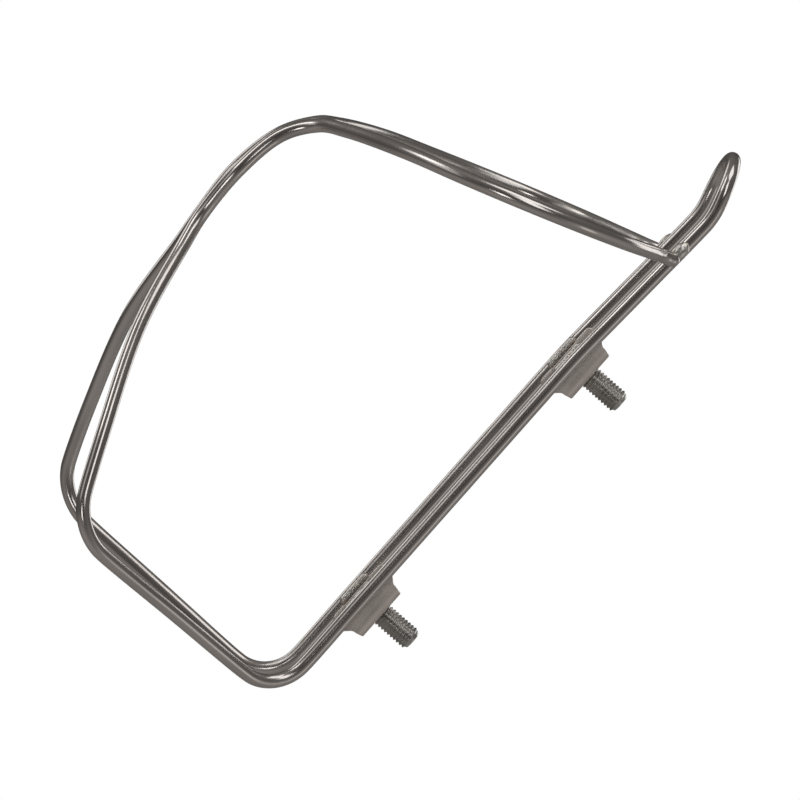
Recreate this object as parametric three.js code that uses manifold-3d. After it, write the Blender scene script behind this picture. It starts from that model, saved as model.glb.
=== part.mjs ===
// A wire bottle cage for a bicycle frame: one bent stainless wire, two pressed steel brackets welded
// between its rails, and the two bolts with washers that hold it to the frame tube.
//
// Millimetres, +Z up along the bottle. The origin is midway between the two bolt axes on the mounting
// plane, which is the back of both brackets (Y = 0). The bottle stands on the -Y side of the rails.

import * as THREE from 'three';
import { mergeVertices } from 'three/addons/utils/BufferGeometryUtils.js';
import Module from 'manifold-3d';

const wasm = await Module();
wasm.setup();

// ---- Driving dimensions ----------------------------------------------------------------------------

const WIRE_R = 1.5;              // 3 mm round wire
const WIRE_SIDES = 16;
const WIRE_STEPS = 300;
const GAP = 0.3;                 // kept between pieces that touch on the real object

const BOLT_PITCH = 64;           // standard bottle cage bolt spacing

const RAIL_X = 9;                // half the distance between the two rails
const RAIL_FOOT_Y = -5.8;        // rail centre line in front of the mounting plane, at the shelf
const LEAN = { y: -5.4, z: 33, bendR: 120 }; // above this point the rails lean back
const RAIL_TOP = { y: -3.2, z: 72.3 };
const HOOK_TILT = 17;            // degrees that the U at the top bends forward
const HOOK_LEG = 3.5;            // straight wire between the rails' top bend and the U
const HOOK_BEND_R = 16;

const SHELF_Z = -58.6;           // the two wires that the bottle stands on
const SHELF_CORNER = { x: 32.9, y: -61.7 };
const REAR_BEND_R = 9;
const CORNER_BEND_R = 11;

const FREE_R = 36.25;            // what the empty cage closes on, just under a 73.5 mm bottle
const BOTTLE_Y = -42.4;
const STRAND_R = FREE_R + WIRE_R;

// The lower part of a front strand lies on the bottle: angle from the front centre against height.
const LOWER_STRAND = [
  { angle: 44, z: -40 },
  { angle: 24, z: -20 },
  { angle: 5.8, z: -1.5 },
];
// The two strands all but touch at the front centre, then turn back and outwards into the arms.
const UPPER_STRAND = [
  [1.75, -80.9, 5],
  [3.1, -81.4, 16.5],
  [1.9, -79.4, 27.6],
  [4, -75.2, 34],
  [10.2, -70.8, 36.9],
];
// The arm seen from above. Empty, it is sprung in a little at the front of the bottle, and its end
// turns to lie along the outer side of the rail.
const ARM_PLAN = [
  [24.3, -60.4],
  [33.2, -49.7],
  [37.5, -39.1],
  [36.8, -28.5],
  [30.2, -17.6],
  [18.4, -9.4],
  [13.3, -6.3],
];
const ARM_PLANE = { y0: -80.45, z0: 34.6, slope: 0.342 };
const ARM_END = { x: 11.9, y: -3 };

const BRACKET = {
  width: 2 * (RAIL_X - WIRE_R - GAP),
  sheet: 1.5,
  bendR: 2.2,
  depth: 5.6,                    // from the mounting plane to the front edges of the wings
  railHeight: 15.4,              // along the rails, where it is welded
  bendHeight: 12.4,              // where the wing meets the bend at the back
  backHeight: 11.8,
  hole: 5.3,
};
const BRACKETS = [
  { name: 'upper', z: BOLT_PITCH / 2, slot: 7.3 },
  { name: 'lower', z: -BOLT_PITCH / 2, slot: 5.3 },
];

const WASHER = { outerR: 5, innerR: 2.65, thickness: 1 };
const BOLT = {
  shankR: 2.5,
  length: 12,
  headR: 4.75,
  headH: 2.75,
  faceR: 2.6,
  headRim: 0.4,                  // straight edge under the dome
  hexAcross: 3,
  hexDepth: 1.6,
  leadIn: { length: 0.8, depth: 0.7 },
};

const BRACKET_WELD = { radius: 0.75, length: 8 };
const ARM_WELD = { width: 0.85, depth: 1.3, height: 1.7, back: 1 }; // half sizes, and how far behind the end

// ---- Materials -------------------------------------------------------------------------------------

const wireSteel = new THREE.MeshStandardMaterial({ color: 0x8e867f, roughness: 0.25, metalness: 1 });
const sheetSteel = new THREE.MeshStandardMaterial({ color: 0x9a928b, roughness: 0.4, metalness: 1 });
const weldSteel = new THREE.MeshStandardMaterial({ color: 0xaaa39b, roughness: 0.5, metalness: 1 });
const boltSteel = new THREE.MeshStandardMaterial({ color: 0x8a8886, roughness: 0.3, metalness: 1 });

// ---- Helpers ---------------------------------------------------------------------------------------

const vec = (x, y, z) => new THREE.Vector3(x, y, z);
const rad = THREE.MathUtils.degToRad;
const mirrored = (point) => vec(-point.x, point.y, point.z);

// A closed solid for joining and cutting, from any closed geometry.
function solid(geometry) {
  const bare = geometry.clone();
  bare.deleteAttribute('normal');
  bare.deleteAttribute('uv');
  const merged = mergeVertices(bare, 1e-4);
  return new wasm.Manifold(new wasm.Mesh({
    numProp: 3,
    vertProperties: new Float32Array(merged.attributes.position.array),
    triVerts: new Uint32Array(merged.index.array),
  }));
}

function geometryOf(manifold) {
  const mesh = manifold.getMesh();
  const geometry = new THREE.BufferGeometry();
  geometry.setAttribute('position', new THREE.BufferAttribute(mesh.vertProperties, 3));
  geometry.setIndex(new THREE.BufferAttribute(mesh.triVerts, 1));
  geometry.computeVertexNormals();
  return geometry;
}

// A cylinder along Y between two Y positions.
function cylinderAlongY(radius, y0, y1, x, z, sides = 32) {
  const geometry = new THREE.CylinderGeometry(radius, radius, Math.abs(y1 - y0), sides);
  geometry.translate(x, (y0 + y1) / 2, z);
  return geometry;
}

// Puts a round bend of the given radius at a polyline's corner, as points along the bend.
function bend(before, corner, after, radius, steps = 7) {
  const back = before.clone().sub(corner).normalize();
  const ahead = after.clone().sub(corner).normalize();
  const half = back.angleTo(ahead) / 2;
  const cut = radius / Math.tan(half);
  const middle = back.clone().add(ahead).normalize();
  const centre = corner.clone().addScaledVector(middle, radius / Math.sin(half));
  const from = corner.clone().addScaledVector(back, cut).sub(centre);
  const to = corner.clone().addScaledVector(ahead, cut).sub(centre);
  const turn = from.angleTo(to);
  const points = [];
  for (let k = 0; k <= steps; k++) {
    const a = Math.sin((1 - k / steps) * turn) / Math.sin(turn);
    const b = Math.sin((k / steps) * turn) / Math.sin(turn);
    points.push(centre.clone().addScaledVector(from, a).addScaledVector(to, b));
  }
  return points;
}

// A round wire swept along a smooth curve through the points.
function sweptWire(points, radius, sides, steps) {
  const curve = new THREE.CatmullRomCurve3(points, false, 'centripetal');
  curve.arcLengthDivisions = 4000;
  const section = new THREE.Shape();
  for (let k = 0; k < sides; k++) {
    const a = (2 * Math.PI * k) / sides;
    if (k === 0) section.moveTo(radius * Math.cos(a), radius * Math.sin(a));
    else section.lineTo(radius * Math.cos(a), radius * Math.sin(a));
  }
  section.closePath();
  return new THREE.ExtrudeGeometry(section, {
    steps, bevelEnabled: false, extrudePath: curve, curveSegments: 1,
  });
}

// ---- The wire's route ------------------------------------------------------------------------------

// A point on the cylinder that the strands follow. Angle 0 is the front centre and 90 is +X.
function aroundBottle(angle, z) {
  return vec(STRAND_R * Math.sin(rad(angle)), BOTTLE_Y - STRAND_R * Math.cos(rad(angle)), z);
}

// The arms lie in one plane that rises towards the rails.
function armHeight(y) {
  return ARM_PLANE.z0 + ARM_PLANE.slope * (y - ARM_PLANE.y0);
}

// The rails' distance from the mounting plane, below the point where they lean back.
function railY(z) {
  return RAIL_FOOT_Y + ((z - SHELF_Z) / (LEAN.z - SHELF_Z)) * (LEAN.y - RAIL_FOOT_Y);
}

// Half of the U at the top, from its tip down to the +X rail, and on to the rear bend.
function hookAndRail() {
  const up = vec(0, -Math.sin(rad(HOOK_TILT)), Math.cos(rad(HOOK_TILT)));
  const top = vec(RAIL_X, RAIL_TOP.y, RAIL_TOP.z);
  const legTop = top.clone().addScaledVector(up, HOOK_LEG);
  const points = [];
  for (let angle = 90; angle > 0; angle -= 15) {
    points.push(vec(RAIL_X * Math.cos(rad(angle)), legTop.y, legTop.z)
      .addScaledVector(up, RAIL_X * Math.sin(rad(angle))));
  }
  const lean = vec(RAIL_X, LEAN.y, LEAN.z);
  const foot = vec(RAIL_X, RAIL_FOOT_Y, SHELF_Z);
  points.push(...bend(legTop, top, lean, HOOK_BEND_R, 4));
  points.push(...bend(top, lean, foot, LEAN.bendR, 3));
  for (const z of [10, -15, -35]) points.push(vec(RAIL_X, railY(z), z));
  return points;
}

// The +X shelf wire with the bends at both of its ends.
function shelf() {
  const rail = vec(RAIL_X, railY(0), 0);
  const foot = vec(RAIL_X, RAIL_FOOT_Y, SHELF_Z);
  const corner = vec(SHELF_CORNER.x, SHELF_CORNER.y, SHELF_Z);
  const first = aroundBottle(LOWER_STRAND[0].angle, LOWER_STRAND[0].z);
  const rear = bend(rail, foot, corner, REAR_BEND_R);
  const front = bend(foot, corner, first, CORNER_BEND_R);
  const middle = rear.at(-1).clone().lerp(front[0], 0.5);
  return [...rear, middle, ...front];
}

// The +X strand from above its corner to the arm, and the arm round the bottle's +X side to the rail.
function strandAndArm() {
  const lower = LOWER_STRAND.map(({ angle, z }) => aroundBottle(angle, z));
  const upper = UPPER_STRAND.map(([x, y, z]) => vec(x, y, z));
  const arm = ARM_PLAN.map(([x, y]) => vec(x, y, armHeight(y)));
  return [...lower, ...upper, ...arm, vec(ARM_END.x, ARM_END.y, armHeight(ARM_END.y))];
}

// One continuous wire: from the -X arm's end down its strand, back along the shelf, up and over the
// hook, and the same way in mirror image to the +X arm's end.
function wireRoute() {
  const plusHalf = [...hookAndRail(), ...shelf(), ...strandAndArm()];
  const minusHalf = plusHalf.slice(1).map(mirrored).reverse();
  return [...minusHalf, ...plusHalf];
}

// ---- Brackets --------------------------------------------------------------------------------------

// The channel's outline seen from above: a web at the back and two wings reaching forward.
function channelOutline() {
  const { width, sheet, bendR, depth } = BRACKET;
  const half = width / 2;
  const innerR = bendR - sheet;
  const shape = new THREE.Shape();
  shape.moveTo(-half, -depth);
  shape.lineTo(-half, -bendR);
  shape.absarc(-half + bendR, -bendR, bendR, Math.PI, Math.PI / 2, true);
  shape.lineTo(half - bendR, 0);
  shape.absarc(half - bendR, -bendR, bendR, Math.PI / 2, 0, true);
  shape.lineTo(half, -depth);
  shape.lineTo(half - sheet, -depth);
  shape.lineTo(half - sheet, -bendR);
  shape.absarc(half - bendR, -bendR, innerR, 0, Math.PI / 2, false);
  shape.lineTo(-half + bendR, -sheet);
  shape.absarc(-half + bendR, -bendR, innerR, Math.PI / 2, Math.PI, false);
  shape.lineTo(-half + sheet, -depth);
  shape.closePath();
  return shape;
}

// The channel's outline seen from the side: tall at the rails, tapering to round corners at the web.
function sideOutline() {
  const front = -BRACKET.depth - 1;
  const tall = BRACKET.railHeight / 2;
  const low = BRACKET.bendHeight / 2;
  const back = BRACKET.backHeight / 2;
  const curves = [
    { from: [-4.4, tall], pull: [-3.6, low + 0.2], to: [-BRACKET.bendR, low] },
    { from: [-0.9, back], pull: [0.6, back], to: [0.6, back - 1.8] },
  ];
  const shape = new THREE.Shape();
  shape.moveTo(front, tall);
  for (const { from, pull, to } of curves) {
    shape.lineTo(...from);
    shape.quadraticCurveTo(...pull, ...to);
  }
  for (const { from, pull, to } of curves.reverse()) {
    shape.lineTo(to[0], -to[1]);
    shape.quadraticCurveTo(pull[0], -pull[1], from[0], -from[1]);
  }
  shape.lineTo(front, -tall);
  shape.closePath();
  return shape;
}

// A cutter for a round hole, or for a slot with round ends, that runs past both faces of the web.
function slotCutter(slot) {
  const radius = BRACKET.hole / 2;
  const offset = (slot - BRACKET.hole) / 2;
  const front = -BRACKET.sheet - 2;
  const back = 1;
  let cutter = solid(cylinderAlongY(radius, front, back, 0, offset));
  if (offset > 0) {
    cutter = cutter.add(solid(cylinderAlongY(radius, front, back, 0, -offset)));
    const middle = new THREE.BoxGeometry(2 * radius, back - front, 2 * offset);
    middle.translate(0, (back + front) / 2, 0);
    cutter = cutter.add(solid(middle));
  }
  return cutter;
}

// A bracket centred on its bolt axis: the channel, trimmed to its side outline, with its hole.
function bracketGeometry({ slot }) {
  const options = { bevelEnabled: false, curveSegments: 5 };
  const tall = BRACKET.railHeight + 4;
  const wide = BRACKET.width + 4;
  const channel = new THREE.ExtrudeGeometry(channelOutline(), { ...options, depth: tall });
  channel.translate(0, 0, -tall / 2);
  const side = new THREE.ExtrudeGeometry(sideOutline(), { ...options, depth: wide });
  side.translate(0, 0, -wide / 2);
  const turned = new THREE.Matrix4().makeBasis(vec(0, 1, 0), vec(0, 0, 1), vec(1, 0, 0));
  side.applyMatrix4(turned);
  return geometryOf(solid(channel).intersect(solid(side)).subtract(slotCutter(slot)));
}

// ---- Fasteners -------------------------------------------------------------------------------------

const WASHER_BACK_Y = -BRACKET.sheet - GAP;
const HEAD_BACK_Y = WASHER_BACK_Y - WASHER.thickness - GAP;

// A closed profile of [radius, Y] pairs, lathed round Y.
function lathed(profile, sides) {
  return new THREE.LatheGeometry(profile.map(([r, y]) => new THREE.Vector2(r, y)), sides);
}

// A flat ring.
function washerGeometry() {
  const { outerR, innerR, thickness } = WASHER;
  const back = WASHER_BACK_Y;
  const front = back - thickness;
  const profile = [[innerR, front], [outerR, front], [outerR, back], [innerR, back], [innerR, front]];
  return lathed(profile, 40);
}

// A button-head socket screw: domed head with a hexagon socket, and a plain shank with a lead-in.
function boltGeometry() {
  const { shankR, length, headR, headH, headRim, faceR, hexAcross, hexDepth, leadIn } = BOLT;
  const front = HEAD_BACK_Y - headH;
  const tip = HEAD_BACK_Y + length;
  const profile = [[0, front], [faceR, front]];
  for (const angle of [22.5, 45, 67.5, 90]) {
    const r = faceR + (headR - faceR) * Math.sin(rad(angle));
    const y = front + (headH - headRim) * (1 - Math.cos(rad(angle)));
    profile.push([r, y]);
  }
  profile.push([headR, HEAD_BACK_Y], [shankR, HEAD_BACK_Y]);
  profile.push([shankR, tip - leadIn.length], [shankR - leadIn.depth, tip], [0, tip]);
  const socket = cylinderAlongY(hexAcross / Math.sqrt(3), front - 1, front + hexDepth, 0, 0, 6);
  return geometryOf(solid(lathed(profile, 36)).subtract(solid(socket)));
}

// ---- Welds -----------------------------------------------------------------------------------------

// A bead with round ends along Z, in the groove between a bracket's wing and its rail.
function bracketWeld(side, z) {
  const { radius, length } = BRACKET_WELD;
  const bead = new THREE.CapsuleGeometry(radius, length - 2 * radius, 5, 12);
  bead.rotateX(Math.PI / 2);
  const y = -BRACKET.depth - GAP - radius;
  const reach = WIRE_R + GAP + radius;
  const inwards = Math.sqrt(reach ** 2 - (y - railY(z)) ** 2);
  bead.translate(side * (RAIL_X - inwards), y, z);
  return bead;
}

// The drop of weld on top of an arm's end, against the outer side of its rail.
function armWeld(side) {
  const { width, depth, height, back } = ARM_WELD;
  const drop = new THREE.SphereGeometry(1, 16, 12);
  drop.scale(width, depth, height);
  const x = RAIL_X + WIRE_R + GAP + width;
  const y = ARM_END.y - back;
  drop.translate(side * x, y, armHeight(y) + WIRE_R + GAP + height);
  return drop;
}

// ---- Assembly --------------------------------------------------------------------------------------

function addMesh(group, name, geometry, material) {
  const mesh = new THREE.Mesh(geometry, material);
  mesh.name = name;
  group.add(mesh);
  return mesh;
}

function buildCage() {
  const cage = new THREE.Group();
  addMesh(cage, 'wire_frame', sweptWire(wireRoute(), WIRE_R, WIRE_SIDES, WIRE_STEPS), wireSteel);
  for (const [label, side] of [['right', 1], ['left', -1]]) {
    addMesh(cage, `${label}_arm_weld`, armWeld(side), weldSteel);
    for (const { name, z } of BRACKETS) {
      addMesh(cage, `${name}_bracket_${label}_weld`, bracketWeld(side, z), weldSteel);
    }
  }

  for (const bracket of BRACKETS) {
    const place = new THREE.Group();
    place.position.z = bracket.z;
    addMesh(place, `${bracket.name}_bracket`, bracketGeometry(bracket), sheetSteel);
    addMesh(place, `${bracket.name}_washer`, washerGeometry(), boltSteel);
    addMesh(place, `${bracket.name}_bolt`, boltGeometry(), boltSteel);
    cage.add(place);
  }
  return cage;
}

export default buildCage();
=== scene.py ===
"""Looks for the wire bottle cage: fine wire, pressed brackets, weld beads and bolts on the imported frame.

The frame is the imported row's: +Z up along the bottle, -Y towards the bottle, and the origin midway
between the two bolts on the mounting plane. Shapes are worked out in millimetres and made in metres.
"""

import math

import bmesh
import bpy
from mathutils import Matrix, Vector, noise


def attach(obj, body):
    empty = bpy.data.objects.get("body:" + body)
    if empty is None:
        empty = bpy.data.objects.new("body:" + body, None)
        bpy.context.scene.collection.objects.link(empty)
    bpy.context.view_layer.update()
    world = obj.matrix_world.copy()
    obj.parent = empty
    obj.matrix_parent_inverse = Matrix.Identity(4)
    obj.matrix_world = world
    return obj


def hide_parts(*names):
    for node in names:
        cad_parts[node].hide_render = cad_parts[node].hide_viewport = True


MM = 0.001

# ---- Camera, in radians, metres and millimetres of lens --------------------------------------------

CAMERA_AZIMUTH = math.radians(82.515)      # 90 degrees looks straight at the +X side
CAMERA_ELEVATION = math.radians(0.776)
CAMERA_ROLL = math.radians(41.27)          # the cage leans over with the bicycle's down tube
CAMERA_DISTANCE = 1.8
CAMERA_TARGET = Vector((0.0, -0.0255, 0.0031))
CAMERA_LENS = 400
CAMERA_SENSOR = 36
CAMERA_NEAR = 0.05
CAMERA_FAR = 20

# ---- Studio, in metres -----------------------------------------------------------------------------

BACKDROP = (1.0, 1.0, 1.0)
FLOOR_Z = -0.25
FLOOR_RADIUS = 1.5
FLOOR_SIDES = 96
FLOOR_FADE = (0.3, 0.95 * FLOOR_RADIUS)    # solid up to the first radius, clear from the second on
FLOOR_COLOUR = (0.8, 0.8, 0.8)
FLOOR_ROUGHNESS = 0.9
FLOOR_GLOW = 0.6

# Each softbox is a name, a direction as the camera sees it (right, up, towards the camera), a width and
# height, and a brightness. All of them stand SOFTBOX_DISTANCE from the cage.
SOFTBOX_DISTANCE = 1.3
SOFTBOX_COLOUR = (1.0, 0.99, 0.975)
SOFTBOXES = [
    ("key", (0.33, 0.43, 0.84), (0.46, 0.85), 1.5),
    ("by_camera", (-0.36, -0.08, 0.93), (0.26, 0.36), 2.6),
    ("top", (0.36, 0.87, 0.30), (0.80, 0.80), 1.3),
    ("left_front", (-0.66, 0.52, 0.52), (0.45, 0.75), 0.45),
    ("left_top", (-0.54, 0.79, 0.30), (0.30, 0.60), 2.0),
    ("left_back", (-0.66, 0.52, -0.58), (0.60, 0.90), 1.1),
    ("right", (0.72, -0.55, 0.40), (0.30, 0.60), 0.4),
    ("right_back", (0.68, 0.12, -0.72), (0.70, 0.80), 1.3),
]

# Brightness of the studio's walls in reflections, along each of the camera's axes from -1 to 1. The
# three values for a direction are multiplied, so the walls' warm tint is on one axis only.
WALLS = {
    "right": [(-1, 1.3), (-0.3, 1.05), (0.3, 0.9), (1, 1.5)],
    "up": [(-1, 0.30), (-0.5, 0.25), (-0.12, 0.14), (0, 0.09), (0.5, 0.12), (1, 0.25)],
    "back": [(-1, 0.8), (-0.3, 0.75), (0.5, 0.95), (1, 0.6)],
}
WALL_WARMTH = {"right": 0, "up": 0.05, "back": 0}

# ---- Colours. Noise goes from the first shade of a pair to the second ------------------------------

WIRE_SHADES = [(0.55, 0.515, 0.495), (0.67, 0.635, 0.615)]
WIRE_RUBBED = (0.72, 0.70, 0.67)
WIRE_HEATED = (0.50, 0.42, 0.34)
SHEET_SHADES = [(0.78, 0.72, 0.685), (0.88, 0.82, 0.785)]
WELD_SHADES = [(0.60, 0.58, 0.55), (0.86, 0.84, 0.81)]
WELD_STRAW = (0.68, 0.57, 0.43)
BOLT_SHADES = [(0.50, 0.49, 0.47), (0.66, 0.65, 0.63)]
NOISE_MIDDLE = (0.3, 0.7)                  # the part of a noise's range that shades spread over

# ---- The wire's route, in millimetres --------------------------------------------------------------

WIRE_R = 1.45
RAIL_X = 9.0
RAIL_FOOT_Y = -5.8
LEAN = (-5.4, 33.0)                        # Y and Z where the rail starts to lean back
LEAN_BEND_R = 120.0
RAIL_TOP = (-3.2, 72.3)                    # Y and Z where the rail turns into the hook
RAIL_HEIGHTS = (10, -15, -35)              # heights of the points on the straight rail
HOOK_TILT = math.radians(17)
HOOK_TURN = 15                             # degrees between the points round the hook's U
HOOK_LEG = 3.5
HOOK_BEND_R = 16.0
SHELF_Z = -58.6
SHELF_CORNER = (32.9, -61.7)               # X and Y
REAR_BEND_R = 9.0
CORNER_BEND_R = 11.0
STRAND_R = 37.75
BOTTLE_Y = -42.4

# The +X strand's lower points are angles from the front centre in degrees, with heights. Its upper
# points are X, Y and Z. The arm's points are X and Y in a sloping plane, which is ARM_Z0 high at ARM_Y0.
LOWER_STRAND = [(44, -40), (24, -20), (5.8, -1.5)]
UPPER_STRAND = [
    (1.75, -80.9, 5), (3.1, -81.4, 16.5), (1.9, -79.4, 27.6), (4, -75.2, 34), (10.2, -70.8, 36.9),
]
ARM_PLAN = [
    (24.3, -60.4), (33.2, -49.7), (37.5, -39.1), (36.8, -28.5), (30.2, -17.6), (18.4, -9.4), (13.3, -6.3),
]
ARM_END = (11.9, -3.0)
ARM_Y0 = -80.45
ARM_Z0 = 34.6
ARM_SLOPE = 0.342

WIRE_SIDES = 28
WIRE_STEP = 0.7
PATH_SPANS = 24                            # steps of the smooth curve between two points of the route
END_STEPS = (0, 0.03, 0.12, 0.28, 0.5, 0.8, 1.15, 1.5)    # ring distances on the wire's round ends
END_TIP = 0.002                            # what is left of the section's area at the very tip

# Wear on the wire. Rubbing starts and is full at these shares of facing the bottle. The heat tint is
# full up to the first distance from a weld and gone at the second.
RUB_EDGES = (0.55, 0.95)
SHELF_BAND = 3.0                           # wire this close above the shelf rubs on the bottle's base
HEAT_REACH = (1.5, 6.5)
HEAT_MOST = 0.8

# ---- Brackets, in millimetres ----------------------------------------------------------------------

BRACKET_Z = {"upper": 32.0, "lower": -32.0}
BRACKET_SLOT = {"upper": 7.3, "lower": 5.3}
BRACKET_HALF = 7.2
BRACKET_DEPTH = 5.6
SHEET = 1.5
BEND_R = 2.2
EDGE_R = 0.35
WING_CORNER_R = 1.0
RAIL_HALF = 7.7                            # half the height at the wings, at the bends and at the back
BEND_HALF = 6.2
BACK_HALF = 5.9
TAPER_START_Y = -4.5
# Distances from a wing's front edge, and how much thinner and lower the sheet is there.
FRONT_EDGE = ((0, 0.245), (0.05, 0.119), (0.17, 0.035), (EDGE_R, 0))
WING_STEPS = 14
BEND_STEPS = 8
WEB_STEPS = 3
EDGE_STEPS = 4

HOLE_R = 2.65
HOLE_CHAMFER = 0.25
HOLE_SIDES = 48
CUTTER_REACH = 0.7                         # how far the cutter stands past each face of the sheet

# ---- Welds, in millimetres -------------------------------------------------------------------------

BEAD_LENGTH = 8.0
BEAD_R = 1.0
BEAD_X = 6.75
BEAD_Y = -6.25
BEAD_WIDTH = 0.95                          # shares of the radius, across and through the bead
BEAD_DEPTH = 0.75
BEAD_BASE = 0.94                           # share of the radius that has no ripple or lump
BEAD_RIPPLE = 0.07
BEAD_LUMP = 0.08
BEAD_LUMP_DRAW = 0.8                       # draws the lumps out along the bead
BEAD_SIDE_SHIFT = 5                        # moves the noise, so that the two sides' lumps differ
RIPPLE_PITCH = 0.9
RIPPLE_CURVE = 0.5
BEAD_TIP = 0.004                           # what is left of the section's area at the very tip
BEAD_STEPS = 64
BEAD_SIDES = 20
BEAD_SPOTS = (-3, 0, 3)                    # places along a bead that heat the wire

FILLET_SIZE = Vector((1.25, 1.45, 2.5))
FILLET_OUT = 2.1                           # from the rail's middle to the fillet's middle
FILLET_BACK = 1.0                          # from the arm's end back to the fillet's middle
FILLET_UP = 2.0                            # from the arm's middle up to the fillet's middle
FILLET_BASE = 0.96                         # shares of the size, as for a bead
FILLET_LUMP = 0.07
FILLET_LUMP_SCALE = 2.1
FILLET_SIDE_SHIFT = 3
FILLET_RIPPLE = 0.03
FILLET_RIPPLES = 5.5
FILLET_POLE = 0.02                         # share of the half turn that each flat end leaves out
FILLET_STEPS = 32
FILLET_SIDES = 28

# ---- Fasteners, in millimetres ---------------------------------------------------------------------

WASHER_R = 5.0
WASHER_HOLE_R = 2.65
WASHER_T = 1.0
WASHER_BACK_Y = -1.8
WASHER_EDGE_R = 0.18
WASHER_SIDES = 72
WASHER_EDGE_STEPS = 3

HEAD_BACK_Y = -3.1
HEAD_R = 4.75
HEAD_H = 2.75
HEAD_BAND = 0.4                            # straight part of the head's side, with its broken edge
HEAD_EDGE = 0.15
HEAD_STEPS = 12
FACE_R = 2.6
FACE_EDGE = 0.1
HEX_ACROSS = 3.0
HEX_DEPTH = 1.6
SOCKET_RIM_R = 1.93
SOCKET_RIM_DEPTH = 0.14
SOCKET_CONE_R = 1.25
SOCKET_CONE_DEPTH = 0.35
SOCKET_TIP_R = 0.05

SHANK_R = 2.5
SHANK_LENGTH = 12.0
SHANK_FILLET = 0.1
SHANK_STEPS = 150
THREAD_PITCH = 0.8
THREAD_DEPTH = 0.4
THREAD_START = (1.0, 2.2)                  # from the head's back: where the thread starts and is full
TIP_LENGTH = 0.8
TIP_CHAMFER = 0.65
FASTENER_SIDES = 48

CREASE = math.radians(35)                  # edges sharper than this stay crisp


# ---- Camera, lights and floor ----------------------------------------------------------------------

def camera_axes():
    """The camera's right, up and backward directions."""
    level_part = math.cos(CAMERA_ELEVATION)
    back = Vector((
        math.sin(CAMERA_AZIMUTH) * level_part,
        -math.cos(CAMERA_AZIMUTH) * level_part,
        math.sin(CAMERA_ELEVATION),
    ))
    level = Vector((math.cos(CAMERA_AZIMUTH), math.sin(CAMERA_AZIMUTH), 0))
    rise = back.cross(level)
    right = level * math.cos(CAMERA_ROLL) + rise * math.sin(CAMERA_ROLL)
    up = rise * math.cos(CAMERA_ROLL) - level * math.sin(CAMERA_ROLL)
    return right, up, back


def add_camera():
    right, up, back = camera_axes()
    data = bpy.data.cameras.new("camera")
    data.lens = CAMERA_LENS
    data.sensor_width = CAMERA_SENSOR
    data.clip_start = CAMERA_NEAR
    data.clip_end = CAMERA_FAR
    camera = bpy.data.objects.new("camera", data)
    turn = Matrix((right, up, back)).transposed().to_4x4()
    camera.matrix_world = Matrix.Translation(CAMERA_TARGET + back * CAMERA_DISTANCE) @ turn
    bpy.context.scene.collection.objects.link(camera)
    bpy.context.scene.camera = camera


def add_softbox(name, place, size, brightness):
    """An area light aimed at the cage, upright in the camera's view and unseen by the camera."""
    right, up, back = camera_axes()
    towards = (right * place[0] + up * place[1] + back * place[2]).normalized()
    across = up.cross(towards).normalized()
    turn = Matrix((across, towards.cross(across), towards)).transposed().to_4x4()
    data = bpy.data.lights.new(name, "AREA")
    data.shape = "RECTANGLE"
    data.size, data.size_y = size
    data.energy = brightness * math.pi * size[0] * size[1]
    data.color = SOFTBOX_COLOUR
    light = bpy.data.objects.new(name, data)
    light.matrix_world = Matrix.Translation(CAMERA_TARGET + towards * SOFTBOX_DISTANCE) @ turn
    light.visible_camera = False
    bpy.context.scene.collection.objects.link(light)


def ramp_node(tree, value, stops):
    """A colour ramp on a value, from (position, colour) pairs."""
    node = tree.nodes.new("ShaderNodeValToRGB")
    elements = node.color_ramp.elements
    while len(elements) < len(stops):
        elements.new(0.5)
    for element, (position, colour) in zip(elements, stops):
        element.position = position
        element.color = (*colour, 1)
    tree.links.new(value, node.inputs["Fac"])
    return node.outputs["Color"]


def along_axis(tree, direction, axis):
    """How far a direction points along an axis, brought from -1..1 to 0..1."""
    dot = tree.nodes.new("ShaderNodeVectorMath")
    dot.operation = "DOT_PRODUCT"
    tree.links.new(direction, dot.inputs[0])
    dot.inputs[1].default_value = axis
    share = tree.nodes.new("ShaderNodeMapRange")
    tree.links.new(dot.outputs["Value"], share.inputs["Value"])
    share.inputs["From Min"].default_value = -1
    share.inputs["From Max"].default_value = 1
    return share.outputs["Result"]


def wall_stops(name):
    """The ramp for the walls' brightness along one of the camera's axes."""
    warmth = WALL_WARMTH[name]
    stops = []
    for position, value in WALLS[name]:
        colour = (value * (1 + warmth), value, value * (1 - warmth))
        stops.append(((position + 1) / 2, colour))
    return stops


def multiply_colours(tree, first, second):
    node = tree.nodes.new("ShaderNodeVectorMath")
    node.operation = "MULTIPLY"
    tree.links.new(first, node.inputs[0])
    tree.links.new(second, node.inputs[1])
    return node.outputs["Vector"]


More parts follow.
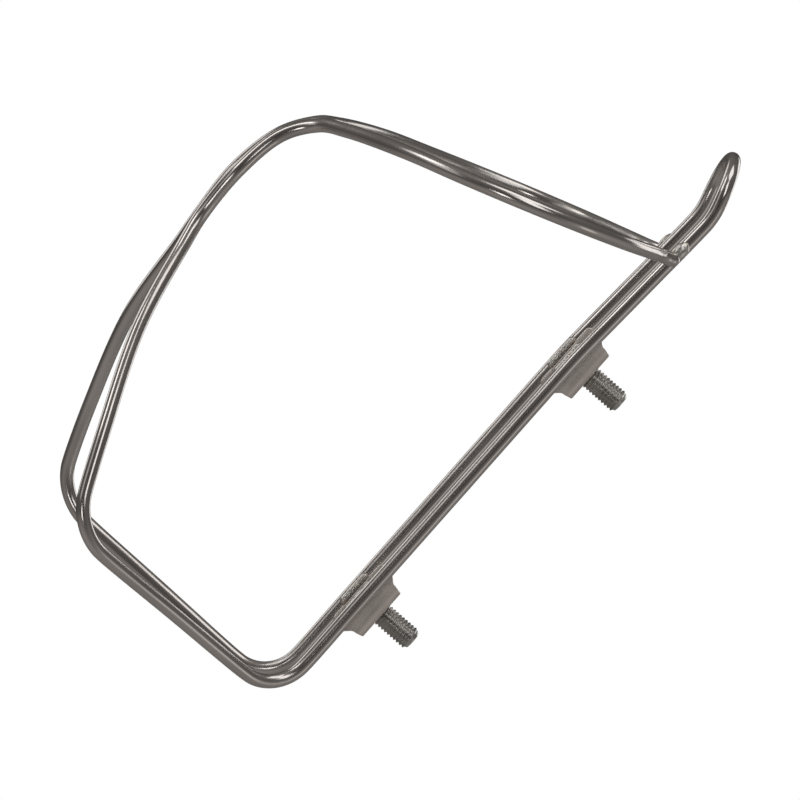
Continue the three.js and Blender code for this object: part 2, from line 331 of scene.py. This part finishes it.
def set_world():
    """The plain backdrop where the camera looks, and the studio's darker walls in reflections."""
    world = bpy.data.worlds.new("studio")
    bpy.context.scene.world = world
    world.use_nodes = True
    tree = world.node_tree
    tree.nodes.clear()
    direction = tree.nodes.new("ShaderNodeTexCoord").outputs["Generated"]
    walls = None
    for name, axis in zip(WALLS, camera_axes()):
        shade = ramp_node(tree, along_axis(tree, direction, axis), wall_stops(name))
        walls = shade if walls is None else multiply_colours(tree, walls, shade)
    room = tree.nodes.new("ShaderNodeBackground")
    tree.links.new(walls, room.inputs["Color"])
    backdrop = tree.nodes.new("ShaderNodeBackground")
    backdrop.inputs["Color"].default_value = (*BACKDROP, 1)
    path = tree.nodes.new("ShaderNodeLightPath")
    mix = tree.nodes.new("ShaderNodeMixShader")
    output = tree.nodes.new("ShaderNodeOutputWorld")
    tree.links.new(path.outputs["Is Camera Ray"], mix.inputs["Fac"])
    tree.links.new(room.outputs["Background"], mix.inputs[1])
    tree.links.new(backdrop.outputs["Background"], mix.inputs[2])
    tree.links.new(mix.outputs["Shader"], output.inputs["Surface"])


def floor_material():
    """A pale, faintly glowing surface that fades out with the distance from the floor's middle."""
    material = bpy.data.materials.new("floor")
    material.use_nodes = True
    tree = material.node_tree
    shader = tree.nodes["Principled BSDF"]
    shader.inputs["Base Color"].default_value = (*FLOOR_COLOUR, 1)
    shader.inputs["Roughness"].default_value = FLOOR_ROUGHNESS
    shader.inputs["Emission Color"].default_value = (1, 1, 1, 1)
    shader.inputs["Emission Strength"].default_value = FLOOR_GLOW
    length = tree.nodes.new("ShaderNodeVectorMath")
    length.operation = "LENGTH"
    tree.links.new(object_place(tree), length.inputs[0])
    fade = value_range(tree, length.outputs["Value"], *FLOOR_FADE, 0, 1)
    clear = tree.nodes.new("ShaderNodeBsdfTransparent")
    mix = tree.nodes.new("ShaderNodeMixShader")
    tree.links.new(fade, mix.inputs["Fac"])
    tree.links.new(shader.outputs["BSDF"], mix.inputs[1])
    tree.links.new(clear.outputs["BSDF"], mix.inputs[2])
    tree.links.new(mix.outputs["Shader"], tree.nodes["Material Output"].inputs["Surface"])
    return material


def add_floor():
    """A disc under the cage that fades into the backdrop towards its rim."""
    vertices = [(0, 0, FLOOR_Z)]
    for k in range(FLOOR_SIDES):
        angle = 2 * math.pi * k / FLOOR_SIDES
        vertices.append((FLOOR_RADIUS * math.cos(angle), FLOOR_RADIUS * math.sin(angle), FLOOR_Z))
    faces = [(0, 1 + k, 1 + (k + 1) % FLOOR_SIDES) for k in range(FLOOR_SIDES)]
    mesh = bpy.data.meshes.new("floor")
    mesh.from_pydata(vertices, [], faces)
    mesh.materials.append(floor_material())
    floor = bpy.data.objects.new("floor", mesh)
    floor.visible_glossy = False
    bpy.context.scene.collection.objects.link(floor)


# ---- Material helpers ------------------------------------------------------------------------------

def object_place(tree):
    """The place on the object, in metres."""
    return tree.nodes.new("ShaderNodeTexCoord").outputs["Object"]


def attribute(tree, name, output):
    node = tree.nodes.new("ShaderNodeAttribute")
    node.attribute_name = name
    return node.outputs[output]


def noise_node(tree, place, scale, detail, size=(1, 1, 1)):
    """Noise with `scale` features per metre, which a size below 1 draws out along that axis."""
    mapping = tree.nodes.new("ShaderNodeMapping")
    mapping.inputs["Scale"].default_value = size
    tree.links.new(place, mapping.inputs["Vector"])
    node = tree.nodes.new("ShaderNodeTexNoise")
    node.inputs["Scale"].default_value = scale
    node.inputs["Detail"].default_value = detail
    tree.links.new(mapping.outputs["Vector"], node.inputs["Vector"])
    return node.outputs["Fac"]


def value_range(tree, value, low, high, out_low, out_high):
    """Brings low..high smoothly to out_low..out_high, and holds the ends beyond them."""
    node = tree.nodes.new("ShaderNodeMapRange")
    node.interpolation_type = "SMOOTHSTEP"
    tree.links.new(value, node.inputs["Value"])
    node.inputs["From Min"].default_value = low
    node.inputs["From Max"].default_value = high
    node.inputs["To Min"].default_value = out_low
    node.inputs["To Max"].default_value = out_high
    return node.outputs["Result"]


def spread(tree, value, out_low, out_high):
    """Brings the middle of a noise's range to out_low..out_high."""
    return value_range(tree, value, *NOISE_MIDDLE, out_low, out_high)


def shade_between(tree, value, shades):
    """Goes from the first shade to the second over the middle of a noise's range."""
    return ramp_node(tree, value, list(zip(NOISE_MIDDLE, shades)))


def combine(tree, operation, first, second):
    """Adds or multiplies two values. Either may be a plain number."""
    node = tree.nodes.new("ShaderNodeMath")
    node.operation = operation
    for socket, value in zip(node.inputs, (first, second)):
        if isinstance(value, (int, float)):
            socket.default_value = value
        else:
            tree.links.new(value, socket)
    return node.outputs["Value"]


def product(tree, first, second):
    return combine(tree, "MULTIPLY", first, second)


def total(tree, first, *others):
    for value in others:
        first = combine(tree, "ADD", first, value)
    return first


def blend_colour(tree, share, base, over):
    """Goes from the colour base to the colour over as share goes from 0 to 1."""
    node = tree.nodes.new("ShaderNodeMix")
    node.data_type = "RGBA"
    tree.links.new(share, node.inputs["Factor"])
    tree.links.new(base, node.inputs["A"])
    node.inputs["B"].default_value = (*over, 1)
    return node.outputs["Result"]


def add_bumps(tree, shader, strength, bumps):
    """Adds several bumps, each a height and its depth in millimetres."""
    normal = None
    for height, depth in bumps:
        node = tree.nodes.new("ShaderNodeBump")
        node.inputs["Strength"].default_value = strength
        node.inputs["Distance"].default_value = depth * MM
        tree.links.new(height, node.inputs["Height"])
        if normal is not None:
            tree.links.new(normal, node.inputs["Normal"])
        normal = node.outputs["Normal"]
    tree.links.new(normal, shader.inputs["Normal"])


def steel(name):
    """A bare metal material, with its node tree."""
    material = bpy.data.materials.new(name)
    material.use_nodes = True
    return material, material.node_tree


def finish_steel(tree, colour, roughness, strength, bumps):
    """Gives a metal its colour, roughness and bumps."""
    shader = tree.nodes["Principled BSDF"]
    shader.inputs["Metallic"].default_value = 1
    tree.links.new(colour, shader.inputs["Base Color"])
    tree.links.new(roughness, shader.inputs["Roughness"])
    add_bumps(tree, shader, strength, bumps)


# ---- Materials -------------------------------------------------------------------------------------

def wire_material():
    """Polished stainless wire: fine lines along it, scuffs where the bottle rubs, and tint by welds."""
    material, tree = steel("wire_steel")
    place = attribute(tree, "wire_place", "Vector")
    lines = noise_node(tree, place, scale=1500, detail=2, size=(1, 1, 0.02))
    patches = noise_node(tree, place, scale=130, detail=3, size=(1, 1, 0.35))
    scuffs = noise_node(tree, place, scale=900, detail=3, size=(1, 1, 0.08))
    scuffed = value_range(tree, scuffs, 0.45, 0.62, 0, 1)
    rub = product(tree, attribute(tree, "rub", "Fac"), scuffed)
    heat = attribute(tree, "heat", "Fac")
    tint = product(tree, heat, spread(tree, patches, 0.3, 0.9))
    colour = shade_between(tree, patches, WIRE_SHADES)
    colour = blend_colour(tree, product(tree, rub, 0.5), colour, WIRE_RUBBED)
    colour = blend_colour(tree, tint, colour, WIRE_HEATED)
    roughness = total(
        tree,
        spread(tree, patches, 0.12, 0.19),
        spread(tree, lines, 0, 0.06),
        product(tree, rub, 0.16),
        product(tree, heat, 0.12),
    )
    finish_steel(tree, colour, roughness, 0.3, [(lines, 0.002), (scuffs, 0.002)])
    return material


def sheet_material():
    """Satin stainless sheet with rolling grain along Z and small handling marks."""
    material, tree = steel("sheet_steel")
    place = object_place(tree)
    grain = noise_node(tree, place, scale=1800, detail=2, size=(1, 1, 0.08))
    clouds = noise_node(tree, place, scale=260, detail=3)
    marks = noise_node(tree, place, scale=1200, detail=2, size=(1, 1, 0.3))
    colour = shade_between(tree, clouds, SHEET_SHADES)
    roughness = total(
        tree,
        spread(tree, clouds, 0.44, 0.52),
        spread(tree, grain, 0, 0.10),
        value_range(tree, marks, 0.66, 0.72, 0, 0.15),
    )
    finish_steel(tree, colour, roughness, 0.3, [(grain, 0.003), (marks, 0.004)])
    return material


def weld_material():
    """Bright, slightly grainy weld metal with a straw tint in places."""
    material, tree = steel("weld_steel")
    place = object_place(tree)
    grains = noise_node(tree, place, scale=1500, detail=2)
    clouds = noise_node(tree, place, scale=500, detail=2)
    colour = shade_between(tree, grains, WELD_SHADES)
    colour = blend_colour(tree, value_range(tree, clouds, 0.5, 0.7, 0, 0.35), colour, WELD_STRAW)
    finish_steel(tree, colour, spread(tree, grains, 0.24, 0.45), 0.4, [(grains, 0.04)])
    return material


def bolt_material():
    """Machined stainless fastener with a faint grain and cloudy polish."""
    material, tree = steel("bolt_steel")
    place = object_place(tree)
    grain = noise_node(tree, place, scale=2400, detail=3, size=(1, 0.3, 1))
    clouds = noise_node(tree, place, scale=400, detail=3)
    colour = shade_between(tree, clouds, BOLT_SHADES)
    roughness = total(tree, spread(tree, clouds, 0.18, 0.30), spread(tree, grain, 0, 0.08))
    finish_steel(tree, colour, roughness, 0.5, [(grain, 0.01)])
    return material


# ---- Mesh helpers ----------------------------------------------------------------------------------

def face_outwards(mesh):
    """Turns every face of a closed mesh to point out."""
    work = bmesh.new()
    work.from_mesh(mesh)
    bmesh.ops.recalc_face_normals(work, faces=work.faces)
    work.to_mesh(mesh)
    work.free()


def mesh_object(name, vertices, faces, material):
    """A smooth-shaded object with crisp creases, from vertices in millimetres."""
    mesh = bpy.data.meshes.new(name)
    mesh.from_pydata([tuple(v * MM for v in vertex) for vertex in vertices], [], faces)
    mesh.validate()
    face_outwards(mesh)
    mesh.shade_smooth()
    mesh.set_sharp_from_angle(angle=CREASE)
    mesh.materials.append(material)
    piece = bpy.data.objects.new(name, mesh)
    bpy.context.scene.collection.objects.link(piece)
    return piece


def skin(name, rings, material, wrap=False):
    """A closed surface through rings with equal counts of points, capped unless wrap joins the ends."""
    count = len(rings[0])
    vertices = [point for ring in rings for point in ring]
    faces = []
    spans = len(rings) if wrap else len(rings) - 1
    for i in range(spans):
        near = i * count
        far = ((i + 1) % len(rings)) * count
        for k in range(count):
            after = (k + 1) % count
            faces.append((near + k, near + after, far + after, far + k))
    if not wrap:
        faces.append(tuple(reversed(range(count))))
        faces.append(tuple(range(len(vertices) - count, len(vertices))))
    return mesh_object(name, vertices, faces, material)


def bake_modifiers(piece):
    """Makes a piece's modifiers permanent in its mesh."""
    bpy.context.view_layer.update()
    graph = bpy.context.evaluated_depsgraph_get()
    baked = bpy.data.meshes.new_from_object(piece.evaluated_get(graph))
    piece.modifiers.clear()
    piece.data = baked


def ring_about_y(radius, y, centre_z):
    """A ring round a line along Y. The radius may be a function of the angle."""
    ring = []
    for k in range(FASTENER_SIDES):
        angle = 2 * math.pi * k / FASTENER_SIDES
        r = radius(angle) if callable(radius) else radius
        ring.append((r * math.cos(angle), y, centre_z + r * math.sin(angle)))
    return ring


def rounded_rectangle(half_width, half_height, radius, steps):
    """An outline with round corners of the given number of steps, as (across, along) pairs."""
    points = []
    for across, along, first in ((1, 1, 0), (-1, 1, 90), (-1, -1, 180), (1, -1, 270)):
        for k in range(steps + 1):
            turn = math.radians(first + 90 * k / steps)
            points.append((
                across * (half_width - radius) + radius * math.cos(turn),
                along * (half_height - radius) + radius * math.sin(turn),
            ))
    return points


def smooth_step(low, high, value):
    """Goes smoothly from 0 at low to 1 at high."""
    share = min(max((value - low) / (high - low), 0), 1)
    return share * share * (3 - 2 * share)


# ---- The wire --------------------------------------------------------------------------------------

def bend(before, corner, after, radius, steps=7):
    """A round bend of the given radius at a polyline's corner, as points along the bend."""
    back = (before - corner).normalized()
    ahead = (after - corner).normalized()
    half = back.angle(ahead) / 2
    cut = radius / math.tan(half)
    centre = corner + (back + ahead).normalized() * (radius / math.sin(half))
    start = corner + back * cut - centre
    end = corner + ahead * cut - centre
    turn = start.angle(end)
    points = []
    for k in range(steps + 1):
        a = math.sin((1 - k / steps) * turn) / math.sin(turn)
        b = math.sin((k / steps) * turn) / math.sin(turn)
        points.append(centre + start * a + end * b)
    return points


def around_bottle(angle, z):
    """A place on the front strands' circle, at an angle from the front centre in degrees."""
    turn = math.radians(angle)
    return Vector((STRAND_R * math.sin(turn), BOTTLE_Y - STRAND_R * math.cos(turn), z))


def arm_height(y):
    return ARM_Z0 + ARM_SLOPE * (y - ARM_Y0)


def rail_y(z):
    """Where the straight part of a rail is, between its foot and the place where it leans back."""
    return RAIL_FOOT_Y + (z - SHELF_Z) / (LEAN[1] - SHELF_Z) * (LEAN[0] - RAIL_FOOT_Y)


def hook_and_rail():
    """Half of the U at the top, from its tip down to the +X rail, and on to the rear bend."""
    up = Vector((0, -math.sin(HOOK_TILT), math.cos(HOOK_TILT)))
    top = Vector((RAIL_X, *RAIL_TOP))
    leg_top = top + up * HOOK_LEG
    lean = Vector((RAIL_X, *LEAN))
    foot = Vector((RAIL_X, RAIL_FOOT_Y, SHELF_Z))
    points = []
    for angle in range(90, 0, -HOOK_TURN):
        turn = math.radians(angle)
        beside = Vector((RAIL_X * math.cos(turn), leg_top.y, leg_top.z))
        points.append(beside + up * (RAIL_X * math.sin(turn)))
    points += bend(leg_top, top, lean, HOOK_BEND_R, 4)
    points += bend(top, lean, foot, LEAN_BEND_R, 3)
    points += [Vector((RAIL_X, rail_y(z), z)) for z in RAIL_HEIGHTS]
    return points


def shelf():
    """The +X shelf wire with the bends at both of its ends."""
    rail = Vector((RAIL_X, rail_y(0), 0))
    foot = Vector((RAIL_X, RAIL_FOOT_Y, SHELF_Z))
    corner = Vector((*SHELF_CORNER, SHELF_Z))
    rear = bend(rail, foot, corner, REAR_BEND_R)
    front = bend(foot, corner, around_bottle(*LOWER_STRAND[0]), CORNER_BEND_R)
    return rear + [rear[-1].lerp(front[0], 0.5)] + front


def strand_and_arm():
    """The +X strand from above its corner to the arm, and the arm round the bottle's side to the rail."""
    points = [around_bottle(*step) for step in LOWER_STRAND]
    points += [Vector(point) for point in UPPER_STRAND]
    points += [Vector((x, y, arm_height(y))) for x, y in [*ARM_PLAN, ARM_END]]
    return points


def wire_route():
    """One continuous wire from the -X arm's end, over the hook, to the +X arm's end."""
    half = hook_and_rail() + shelf() + strand_and_arm()
    mirrored = [Vector((-p.x, p.y, p.z)) for p in reversed(half[1:])]
    return mirrored + half


def smooth_path(points):
    """A centripetal Catmull-Rom curve through the points."""
    ends = [points[0] * 2 - points[1], *points, points[-1] * 2 - points[-2]]
    path = []
    for k in range(1, len(points)):
        p0, p1, p2, p3 = ends[k - 1:k + 3]
        t0, t1, t2 = (math.sqrt((b - a).length) for a, b in ((p0, p1), (p1, p2), (p2, p3)))
        leave = ((p1 - p0) / t0 - (p2 - p0) / (t0 + t1) + (p2 - p1) / t1) * t1
        reach = ((p2 - p1) / t1 - (p3 - p1) / (t1 + t2) + (p3 - p2) / t2) * t1
        for i in range(PATH_SPANS):
            s = i / PATH_SPANS
            path.append(
                p1 * (2 * s ** 3 - 3 * s ** 2 + 1) + leave * (s ** 3 - 2 * s ** 2 + s)
                + p2 * (3 * s ** 2 - 2 * s ** 3) + reach * (s ** 3 - s ** 2)
            )
    path.append(points[-1])
    return path


def measured_path(path):
    """Points at even distances along a path, closer at both ends, each with its distance along it."""
    reach = [0.0]
    for before, after in zip(path, path[1:]):
        reach.append(reach[-1] + (after - before).length)
    length = reach[-1]
    start = END_STEPS[-1]
    finish = length - END_STEPS[-1]
    count = round((finish - start) / WIRE_STEP)
    middle = [start + (finish - start) * k / count for k in range(1, count)]
    distances = [*END_STEPS, *middle, *(length - d for d in reversed(END_STEPS))]
    places = []
    span = 0
    for distance in distances:
        while span < len(path) - 2 and reach[span + 1] < distance:
            span += 1
        share = (distance - reach[span]) / (reach[span + 1] - reach[span])
        places.append((distance, path[span].lerp(path[span + 1], share)))
    return places


def weld_places():
    """Where the welds are, for the heat tint on the wire next to them."""
    places = []
    for side in (-1, 1):
        places.append(Vector((side * ARM_END[0], ARM_END[1], arm_height(ARM_END[1]))))
        for z in BRACKET_Z.values():
            for along in BEAD_SPOTS:
                places.append(Vector((side * RAIL_X, BEAD_Y, z + along)))
    return places


def wire_radius(to_end):
    """The wire's radius at a distance from its nearer end, which is rounded."""
    short = max(1 - to_end / END_STEPS[-1], 0)
    return WIRE_R * math.sqrt(max(1 - short * short, END_TIP))


def towards_bottle(centre):
    """The direction from a place on the wire to the bottle, which is up from the shelf."""
    if centre.z < SHELF_Z + SHELF_BAND:
        return Vector((0, 0, 1))
    return Vector((-centre.x, BOTTLE_Y - centre.y, 0)).normalized()


def heat_at(centre, welds):
    """How strongly the nearest weld has tinted the wire."""
    nearest = min((centre - place).length for place in welds)
    return HEAT_MOST * (1 - smooth_step(*HEAT_REACH, nearest))


def wire_piece(material):
    """The whole wire, with rounded ends, and where on its surface it is rubbed and heated."""
    places = measured_path(smooth_path(wire_route()))
    length = places[-1][0]
    welds = weld_places()
    rings, wire_place, rub, heat = [], [], [], []
    side = Vector((0, 0, 1))
    for k, (distance, centre) in enumerate(places):
        ahead = places[min(k + 1, len(places) - 1)][1] - places[max(k - 1, 0)][1]
        ahead.normalize()
        side = (side - ahead * side.dot(ahead)).normalized()
        other = ahead.cross(side)
        radius = wire_radius(min(distance, length - distance))
        to_bottle = towards_bottle(centre)
        heat += [heat_at(centre, welds)] * WIRE_SIDES
        ring = []
        for i in range(WIRE_SIDES):
            angle = 2 * math.pi * i / WIRE_SIDES
            out = side * math.cos(angle) + other * math.sin(angle)
            ring.append(tuple(centre + out * radius))
            wire_place += [math.cos(angle) * WIRE_R * MM, math.sin(angle) * WIRE_R * MM, distance * MM]
            rub.append(smooth_step(*RUB_EDGES, out.dot(to_bottle)))
        rings.append(ring)
    piece = skin("wire", rings, material)
    attributes = piece.data.attributes
    attributes.new("wire_place", "FLOAT_VECTOR", "POINT").data.foreach_set("vector", wire_place)
    attributes.new("rub", "FLOAT", "POINT").data.foreach_set("value", rub)
    attributes.new("heat", "FLOAT", "POINT").data.foreach_set("value", heat)
    return piece


# ---- Brackets --------------------------------------------------------------------------------------

def bracket_half_height(y):
    """Half the sheet's height along Z: tall at the rails, tapering to the web at the back."""
    to_corner = max(1 - (y + BRACKET_DEPTH) / WING_CORNER_R, 0)
    half = RAIL_HALF - WING_CORNER_R * (1 - math.sqrt(1 - to_corner ** 2))
    half += (BEND_HALF - half) * smooth_step(TAPER_START_Y, -BEND_R, y)
    return half + (BACK_HALF - half) * smooth_step(-BEND_R, -SHEET / 2, y)


def bracket_stations():
    """Places on the middle of the bent sheet's +X half, from its front edge to the middle of the web.

    Each is X and Y, the sheet's outward direction in X and Y, and how much the section shrinks.
    """
    wing_x = BRACKET_HALF - SHEET / 2
    bend_x = BRACKET_HALF - BEND_R
    reach = BEND_R - SHEET / 2
    stations = []
    for from_front, inset in FRONT_EDGE:
        stations.append((wing_x, from_front - BRACKET_DEPTH, 1, 0, inset))
    for k in range(1, WING_STEPS + 1):
        y = EDGE_R - BRACKET_DEPTH + (BRACKET_DEPTH - EDGE_R - BEND_R) * k / WING_STEPS
        stations.append((wing_x, y, 1, 0, 0))
    for k in range(1, BEND_STEPS + 1):
        turn = math.radians(90 * k / BEND_STEPS)
        out_x = math.cos(turn)
        out_y = math.sin(turn)
        stations.append((bend_x + reach * out_x, reach * out_y - BEND_R, out_x, out_y, 0))
    for k in range(1, WEB_STEPS):
        stations.append((bend_x * (1 - k / WEB_STEPS), -SHEET / 2, 0, 1, 0))
    return stations


def slot_cutter(name, z):
    """A cutter for the bolt hole or slot, flared at both faces of the sheet so that its rims are broken."""
    offset = BRACKET_SLOT[name] / 2 - HOLE_R
    flare = HOLE_CHAMFER + CUTTER_REACH
    profile = (
        (HOLE_R + flare, -SHEET - CUTTER_REACH), (HOLE_R, -SHEET + HOLE_CHAMFER),
        (HOLE_R, -HOLE_CHAMFER), (HOLE_R + flare, CUTTER_REACH),
    )
    rings = []
    for radius, y in profile:
        ring = []
        for k in range(HOLE_SIDES):
            turn = 2 * math.pi * k / HOLE_SIDES
            on_side = k % (HOLE_SIDES // 2) == 0
            shift = 0 if on_side else math.copysign(offset, math.sin(turn))
            ring.append((radius * math.cos(turn), y, z + shift + radius * math.sin(turn)))
        rings.append(ring)
    return skin(f"{name}_cutter", rings, bpy.data.materials["sheet_steel"])


def bracket_piece(name, material):
    """A channel pressed from sheet, with its bolt hole or slot cut through the web."""
    z = BRACKET_Z[name]
    half = bracket_stations()
    stations = half + [(-x, y, -out_x, out_y, inset) for x, y, out_x, out_y, inset in reversed(half)]
    rings = []
    for x, y, out_x, out_y, inset in stations:
        half_height = bracket_half_height(y) - inset
        section = rounded_rectangle(SHEET / 2 - inset, half_height, EDGE_R, EDGE_STEPS)
        rings.append([(x + out_x * across, y + out_y * across, z + along) for across, along in section])
    piece = skin(f"{name}_pressed_bracket", rings, material)
    cutter = slot_cutter(name, z)
    cut = piece.modifiers.new("hole", "BOOLEAN")
    cut.operation = "DIFFERENCE"
    cut.solver = "EXACT"
    cut.object = cutter
    bake_modifiers(piece)
    bpy.data.objects.remove(cutter)
    piece.data.set_sharp_from_angle(angle=CREASE)
    weigh = piece.modifiers.new("weighted", "WEIGHTED_NORMAL")
    weigh.keep_sharp = True
    return piece


# ---- Welds -----------------------------------------------------------------------------------------

def bracket_bead(name, side, z, material):
    """A rippled bead with round ends in the groove between a bracket wing and its rail."""
    rings = []
    for k in range(BEAD_STEPS + 1):
        along = -BEAD_LENGTH / 2 + BEAD_LENGTH * k / BEAD_STEPS
        to_end = BEAD_LENGTH / 2 - abs(along)
        taper = math.sqrt(max(1 - max(1 - to_end / BEAD_R, 0) ** 2, BEAD_TIP))
        ring = []
        for i in range(BEAD_SIDES):
            angle = 2 * math.pi * i / BEAD_SIDES
            across = math.cos(angle)
            wave = (along + RIPPLE_CURVE * across * across) / RIPPLE_PITCH
            around = side * BEAD_SIDE_SHIFT + across
            lump = noise.noise(Vector((around, z + along * BEAD_LUMP_DRAW, math.sin(angle))))
            share = BEAD_BASE + BEAD_RIPPLE * abs(math.sin(math.pi * wave)) + BEAD_LUMP * lump
            radius = BEAD_R * taper * share
            ring.append((
                side * BEAD_X + radius * across * BEAD_WIDTH,
                BEAD_Y + radius * math.sin(angle) * BEAD_DEPTH,
                z + along,
            ))
        rings.append(ring)
    return skin(name, rings, material)


def arm_fillet(name, side, material):
    """The lumpy fillet on top of an arm's end, up the outer side of its rail."""
    y = ARM_END[1] - FILLET_BACK
    centre = Vector((side * (RAIL_X + FILLET_OUT), y, arm_height(y) + FILLET_UP))
    rings = []
    for k in range(FILLET_STEPS + 1):
        rise = math.pi * (FILLET_POLE + (1 - 2 * FILLET_POLE) * k / FILLET_STEPS)
        ripple = FILLET_RIPPLE * abs(math.sin(FILLET_RIPPLES * math.pi * k / FILLET_STEPS))
        ring = []
        for i in range(FILLET_SIDES):
            angle = 2 * math.pi * i / FILLET_SIDES
            level = math.sin(rise)
            out = Vector((level * math.cos(angle), level * math.sin(angle), -math.cos(rise)))
            lump = noise.noise(out * FILLET_LUMP_SCALE + Vector((side * FILLET_SIDE_SHIFT, 0, 0)))
            share = FILLET_BASE + FILLET_LUMP * lump + ripple
            ring.append(tuple(centre + out * FILLET_SIZE * share))
        rings.append(ring)
    return skin(name, rings, material)


# ---- Fasteners -------------------------------------------------------------------------------------

def hexagon(angle):
    """The socket wall's distance from the bolt's axis."""
    return HEX_ACROSS / 2 / math.cos((angle % (math.pi / 3)) - math.pi / 6)


def thread_radius(y):
    """The shank's radius at each angle, for a right-hand thread that fades at both ends."""
    tip = HEAD_BACK_Y + SHANK_LENGTH
    start = HEAD_BACK_Y + THREAD_START[0]
    full = HEAD_BACK_Y + THREAD_START[1]
    depth = THREAD_DEPTH * smooth_step(start, full, y) * smooth_step(tip, tip - TIP_LENGTH, y)
    chamfer = TIP_CHAMFER * smooth_step(tip - TIP_LENGTH, tip, y)

    def radius(angle):
        turn = (y / THREAD_PITCH + angle / (2 * math.pi)) % 1
        return SHANK_R - chamfer - depth * (1 - abs(2 * turn - 1))
    return radius


def head_profile():
    """Radius and Y from the socket's floor, over the domed face, to the back of the head."""
    front = HEAD_BACK_Y - HEAD_H
    floor = front + HEX_DEPTH
    profile = [
        (SOCKET_TIP_R, floor + SOCKET_CONE_DEPTH), (SOCKET_CONE_R, floor), (hexagon, floor),
        (hexagon, front + SOCKET_RIM_DEPTH), (SOCKET_RIM_R, front), (FACE_R - FACE_EDGE, front),
    ]
    for k in range(1, HEAD_STEPS + 1):
        turn = math.radians(90 * k / HEAD_STEPS)
        radius = FACE_R + (HEAD_R - FACE_R) * math.sin(turn)
        profile.append((radius, front + (HEAD_H - HEAD_BAND) * (1 - math.cos(turn))))
    profile.append((HEAD_R, HEAD_BACK_Y - HEAD_EDGE))
    profile.append((HEAD_R - HEAD_EDGE, HEAD_BACK_Y))
    return profile


def shank_profile():
    """Radius and Y down the shank, from the fillet under the head to the tip."""
    profile = [(SHANK_R + SHANK_FILLET, HEAD_BACK_Y)]
    for k in range(SHANK_STEPS + 1):
        y = HEAD_BACK_Y + SHANK_FILLET + (SHANK_LENGTH - SHANK_FILLET) * k / SHANK_STEPS
        profile.append((thread_radius(y), y))
    return profile


def bolt_piece(name, material):
    """A button-head socket screw with a broken-edged hexagon socket and a cut thread."""
    profile = head_profile() + shank_profile()
    rings = [ring_about_y(radius, y, BRACKET_Z[name]) for radius, y in profile]
    return skin(f"{name}_screw", rings, material)


def washer_piece(name, material):
    """A punched washer with rounded edges."""
    half_width = (WASHER_R - WASHER_HOLE_R) / 2
    middle_r = (WASHER_R + WASHER_HOLE_R) / 2
    middle_y = WASHER_BACK_Y - WASHER_T / 2
    section = rounded_rectangle(half_width, WASHER_T / 2, WASHER_EDGE_R, WASHER_EDGE_STEPS)
    rings = []
    for k in range(WASHER_SIDES):
        turn = 2 * math.pi * k / WASHER_SIDES
        ring = []
        for out, along in section:
            r = middle_r + out
            ring.append((r * math.cos(turn), middle_y + along, BRACKET_Z[name] + r * math.sin(turn)))
        rings.append(ring)
    return skin(f"{name}_plain_washer", rings, material, wrap=True)


# ---- Assembly --------------------------------------------------------------------------------------

def add_piece(piece, body, node):
    """Fixes a piece to its body, in place of its CAD node, which it hides."""
    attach(piece, body)
    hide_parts(node)


def build_pieces():
    wire = wire_material()
    sheet = sheet_material()
    weld = weld_material()
    bolt = bolt_material()
    add_piece(wire_piece(wire), "cage", "wire_frame")
    for label, side in (("right", 1), ("left", -1)):
        fillet = arm_fillet(f"{label}_arm_fillet", side, weld)
        add_piece(fillet, "cage", f"{label}_arm_weld")
        for name, z in BRACKET_Z.items():
            bead = bracket_bead(f"{name}_{label}_bead", side, z, weld)
            add_piece(bead, "cage", f"{name}_bracket_{label}_weld")
    for name in BRACKET_Z:
        add_piece(bracket_piece(name, sheet), "cage", f"{name}_bracket")
        add_piece(washer_piece(name, bolt), f"{name}_fastener", f"{name}_washer")
        add_piece(bolt_piece(name, bolt), f"{name}_fastener", f"{name}_bolt")


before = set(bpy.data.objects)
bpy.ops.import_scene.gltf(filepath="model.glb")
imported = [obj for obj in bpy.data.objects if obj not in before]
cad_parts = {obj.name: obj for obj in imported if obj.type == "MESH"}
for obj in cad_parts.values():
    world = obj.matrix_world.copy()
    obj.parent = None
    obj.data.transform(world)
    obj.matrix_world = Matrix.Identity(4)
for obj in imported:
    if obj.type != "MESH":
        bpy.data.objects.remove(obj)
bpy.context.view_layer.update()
bpy.context.scene.view_settings.view_transform = "Standard"
add_camera()
set_world()
for softbox in SOFTBOXES:
    add_softbox(*softbox)
add_floor()
build_pieces()
